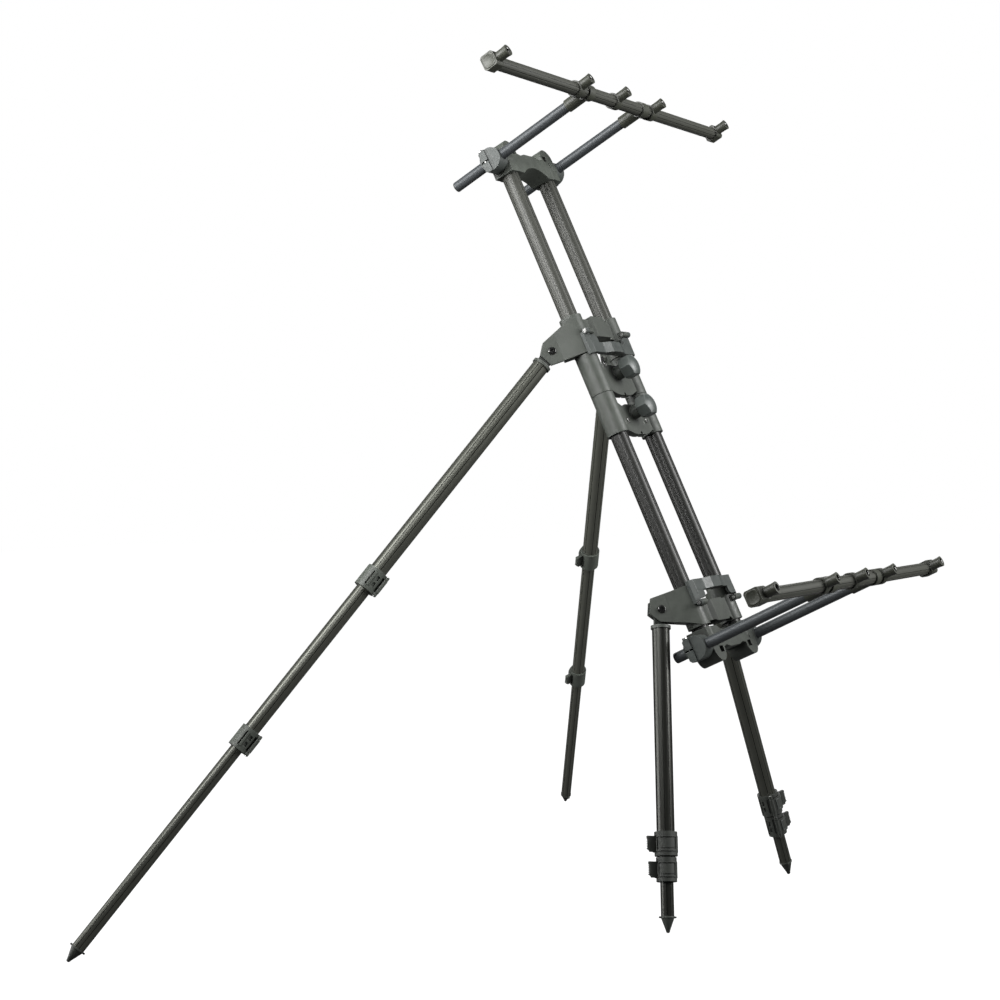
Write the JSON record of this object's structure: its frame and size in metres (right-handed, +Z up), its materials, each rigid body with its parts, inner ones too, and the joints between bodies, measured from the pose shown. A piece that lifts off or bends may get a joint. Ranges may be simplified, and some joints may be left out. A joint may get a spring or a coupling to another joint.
{
  "type": "fishing rod pod",
  "caption": "Fishing rod pod: sloping spine of twin tubes, long and short telescopic legs with spikes, and cross bars on clamped arms with threaded sockets for rod rests.",
  "frame": {"origin": "on the ground, at the middle of the footprint box", "axes": "+X towards the water, the way the front legs reach; +Y to the left; +Z up"},
  "size_m": [0.7794, 1.183, 1.0542],
  "materials": {
    "gunmetal_tube": "dark satin anodised",
    "dark_tube": "dark satin anodised",
    "moulded_plastic": "matte moulded",
    "lever_plastic": "matte moulded",
    "bright_steel": "bright"
  },
  "bodies": {
    "base": {"lower_spine_tubes": "gunmetal_tube", "inner_spine_tubes": "dark_tube", "lower_sleeve": "moulded_plastic", "lower_crosshead": "moulded_plastic"},
    "upper_spine": {"upper_spine_tubes": "gunmetal_tube", "upper_sleeve": "moulded_plastic", "upper_crosshead": "moulded_plastic"},
    "lower_knob": {"lower_knob": "lever_plastic"},
    "upper_knob": {"upper_knob": "lever_plastic"},
    "front_bracket": {"front_bracket": "moulded_plastic", "front_bracket_bolts": "bright_steel"},
    "rear_bracket": {"rear_bracket": "moulded_plastic", "rear_bracket_bolts": "bright_steel"},
    "front_clamp_lever": {"front_clamp_lever": "lever_plastic"},
    "rear_clamp_lever": {"rear_clamp_lever": "lever_plastic"},
    "upper_knuckles": {"upper_knuckles": "moulded_plastic"},
    "lower_knuckles": {"lower_knuckles": "moulded_plastic"},
    "upper_rest": {"upper_arms": "dark_tube", "upper_bar": "gunmetal_tube", "upper_bar_fittings": "moulded_plastic"},
    "lower_rest": {"lower_arms": "dark_tube", "lower_bar": "gunmetal_tube", "lower_bar_fittings": "moulded_plastic"},
    "front_left_leg": {"front_left_leg_top": "moulded_plastic", "front_left_outer_tube": "gunmetal_tube", "front_left_upper_lock": "moulded_plastic"},
    "front_left_upper_lever": {"front_left_upper_lever": "lever_plastic"},
    "front_left_middle": {"front_left_middle_tube": "gunmetal_tube", "front_left_lower_lock": "moulded_plastic"},
    "front_left_lower_lever": {"front_left_lower_lever": "lever_plastic"},
    "front_left_inner": {"front_left_inner_tube": "gunmetal_tube", "front_left_spike": "moulded_plastic"},
    "front_right_leg": {"front_right_leg_top": "moulded_plastic", "front_right_outer_tube": "gunmetal_tube", "front_right_upper_lock": "moulded_plastic"},
    "front_right_upper_lever": {"front_right_upper_lever": "lever_plastic"},
    "front_right_middle": {"front_right_middle_tube": "gunmetal_tube", "front_right_lower_lock": "moulded_plastic"},
    "front_right_lower_lever": {"front_right_lower_lever": "lever_plastic"},
    "front_right_inner": {"front_right_inner_tube": "gunmetal_tube", "front_right_spike": "moulded_plastic"},
    "rear_left_leg": {"rear_left_leg_top": "moulded_plastic", "rear_left_outer_tube": "gunmetal_tube", "rear_left_upper_lock": "moulded_plastic"},
    "rear_left_upper_lever": {"rear_left_upper_lever": "lever_plastic"},
    "rear_left_middle": {"rear_left_middle_tube": "gunmetal_tube", "rear_left_lower_lock": "moulded_plastic"},
    "rear_left_lower_lever": {"rear_left_lower_lever": "lever_plastic"},
    "rear_left_inner": {"rear_left_inner_tube": "gunmetal_tube", "rear_left_spike": "moulded_plastic"},
    "rear_right_leg": {"rear_right_leg_top": "moulded_plastic", "rear_right_outer_tube": "gunmetal_tube", "rear_right_upper_lock": "moulded_plastic"},
    "rear_right_upper_lever": {"rear_right_upper_lever": "lever_plastic"},
    "rear_right_middle": {"rear_right_middle_tube": "gunmetal_tube", "rear_right_lower_lock": "moulded_plastic"},
    "rear_right_lower_lever": {"rear_right_lower_lever": "lever_plastic"},
    "rear_right_inner": {"rear_right_inner_tube": "gunmetal_tube", "rear_right_spike": "moulded_plastic"}
  },
  "joints": [
    {"name": "spine_extension", "type": "slide", "parent": "base", "child": "upper_spine", "axis": [0.3939, 0, 0.9191], "range_m": [0, 0.2]},
    {"name": "lower_knob_turn", "type": "hinge", "parent": "base", "child": "lower_knob", "pos_m": [-0.08209, 0, 0.63353], "axis": [-0.9191, 0, 0.3939], "continuous": true},
    {"name": "upper_knob_turn", "type": "hinge", "parent": "upper_spine", "child": "upper_knob", "pos_m": [-0.05979, 0, 0.68555], "axis": [-0.9191, 0, 0.3939], "continuous": true},
    {"name": "front_bracket_slide", "type": "slide", "parent": "upper_spine", "child": "front_bracket", "axis": [0.3939, 0, 0.9191], "range_m": [0, 0.15]},
    {"name": "rear_bracket_slide", "type": "slide", "parent": "base", "child": "rear_bracket", "axis": [0.3939, 0, 0.9191], "range_m": [0, 0.15]},
    {"name": "front_clamp_lever_turn", "type": "hinge", "parent": "front_bracket", "child": "front_clamp_lever", "pos_m": [-0.03751, 0, 0.73627], "axis": [0, 1, 0], "range_deg": [0, 95]},
    {"name": "rear_clamp_lever_turn", "type": "hinge", "parent": "rear_bracket", "child": "rear_clamp_lever", "pos_m": [-0.1874, 0, 0.38654], "axis": [0, -1, 0], "range_deg": [0, 95]},
    {"name": "upper_rest_tilt", "type": "hinge", "parent": "upper_spine", "child": "upper_knuckles", "pos_m": [0.08176, 0, 0.96759], "axis": [0, 1, 0], "range_deg": [-60, 90]},
    {"name": "upper_rest_slide", "type": "slide", "parent": "upper_knuckles", "child": "upper_rest", "axis": [-0.8973, 0, 0.4415], "range_m": [-0.1, 0.045]},
    {"name": "lower_rest_tilt", "type": "hinge", "parent": "base", "child": "lower_knuckles", "pos_m": [-0.19108, 0, 0.331], "axis": [0, 1, 0], "range_deg": [-15, 60]},
    {"name": "lower_rest_slide", "type": "slide", "parent": "lower_knuckles", "child": "lower_rest", "axis": [-0.9121, 0, 0.4099], "range_m": [-0.08, 0.018]},
    {"name": "front_left_leg_swing", "type": "hinge", "parent": "front_bracket", "child": "front_left_leg", "pos_m": [0.00196, 0.07854, 0.70957], "axis": [0.5772, -0.7782, -0.2474], "range_deg": [-42, 25]},
    {"name": "front_left_middle_slide", "type": "slide", "parent": "front_left_leg", "child": "front_left_middle", "axis": [0.4041, 0.5354, -0.7417], "range_m": [-0.215, 0.06]},
    {"name": "front_left_inner_slide", "type": "slide", "parent": "front_left_middle", "child": "front_left_inner", "axis": [0.4041, 0.5354, -0.7417], "range_m": [-0.275, 0.02]},
    {"name": "front_left_upper_lever_turn", "type": "hinge", "parent": "front_left_leg", "child": "front_left_upper_lever", "pos_m": [0.14191, 0.27889, 0.41943], "axis": [0.4041, 0.5354, -0.7417], "range_deg": [0, 110]},
    {"name": "front_left_lower_lever_turn", "type": "hinge", "parent": "front_left_middle", "child": "front_left_lower_lever", "pos_m": [0.24374, 0.41245, 0.2356], "axis": [0.4041, 0.5354, -0.7417], "range_deg": [0, 110]},
    {"name": "front_right_leg_swing", "type": "hinge", "parent": "front_bracket", "child": "front_right_leg", "pos_m": [0.00196, -0.07854, 0.70957], "axis": [-0.5772, -0.7782, 0.2474], "range_deg": [-42, 25]},
    {"name": "front_right_middle_slide", "type": "slide", "parent": "front_right_leg", "child": "front_right_middle", "axis": [0.4041, -0.5354, -0.7417], "range_m": [-0.23, 0.05]},
    {"name": "front_right_inner_slide", "type": "slide", "parent": "front_right_middle", "child": "front_right_inner", "axis": [0.4041, -0.5354, -0.7417], "range_m": [-0.275, 0.02]},
    {"name": "front_right_upper_lever_turn", "type": "hinge", "parent": "front_right_leg", "child": "front_right_upper_lever", "pos_m": [0.1644, -0.28929, 0.43919], "axis": [0.4041, -0.5354, -0.7417], "range_deg": [0, 110]},
    {"name": "front_right_lower_lever_turn", "type": "hinge", "parent": "front_right_middle", "child": "front_right_lower_lever", "pos_m": [0.26941, -0.42885, 0.24389], "axis": [0.4041, -0.5354, -0.7417], "range_deg": [0, 110]},
    {"name": "rear_left_leg_swing", "type": "hinge", "parent": "rear_bracket", "child": "rear_left_leg", "pos_m": [-0.14366, 0.08111, 0.37758], "axis": [0.6431, -0.7145, -0.2756], "range_deg": [-2, 75]},
    {"name": "rear_left_middle_slide", "type": "slide", "parent": "rear_left_leg", "child": "rear_left_middle", "axis": [-0.1219, 0.2598, -0.9579], "range_m": [0, 0.18]},
    {"name": "rear_left_inner_slide", "type": "slide", "parent": "rear_left_middle", "child": "rear_left_inner", "axis": [-0.1219, 0.2598, -0.9579], "range_m": [-0.038, 0.17]},
    {"name": "rear_left_upper_lever_turn", "type": "hinge", "parent": "rear_left_leg", "child": "rear_left_upper_lever", "pos_m": [-0.17124, 0.14269, 0.09611], "axis": [-0.1219, 0.2598, -0.9579], "range_deg": [0, 110]},
    {"name": "rear_left_lower_lever_turn", "type": "hinge", "parent": "rear_left_middle", "child": "rear_left_lower_lever", "pos_m": [-0.17567, 0.15187, 0.06732], "axis": [-0.1219, 0.2598, -0.9579], "range_deg": [0, 110]},
    {"name": "rear_right_leg_swing", "type": "hinge", "parent": "rear_bracket", "child": "rear_right_leg", "pos_m": [-0.14366, -0.08111, 0.37758], "axis": [-0.6431, -0.7145, 0.2756], "range_deg": [-2, 75]},
    {"name": "rear_right_middle_slide", "type": "slide", "parent": "rear_right_leg", "child": "rear_right_middle", "axis": [-0.1219, -0.2598, -0.9579], "range_m": [0, 0.18]},
    {"name": "rear_right_inner_slide", "type": "slide", "parent": "rear_right_middle", "child": "rear_right_inner", "axis": [-0.1219, -0.2598, -0.9579], "range_m": [-0.038, 0.17]},
    {"name": "rear_right_upper_lever_turn", "type": "hinge", "parent": "rear_right_leg", "child": "rear_right_upper_lever", "pos_m": [-0.1887, -0.1435, 0.09855], "axis": [-0.1219, -0.2598, -0.9579], "range_deg": [0, 110]},
    {"name": "rear_right_lower_lever_turn", "type": "hinge", "parent": "rear_right_middle", "child": "rear_right_lower_lever", "pos_m": [-0.19151, -0.1526, 0.06953], "axis": [-0.1219, -0.2598, -0.9579], "range_deg": [0, 110]}
  ]
}
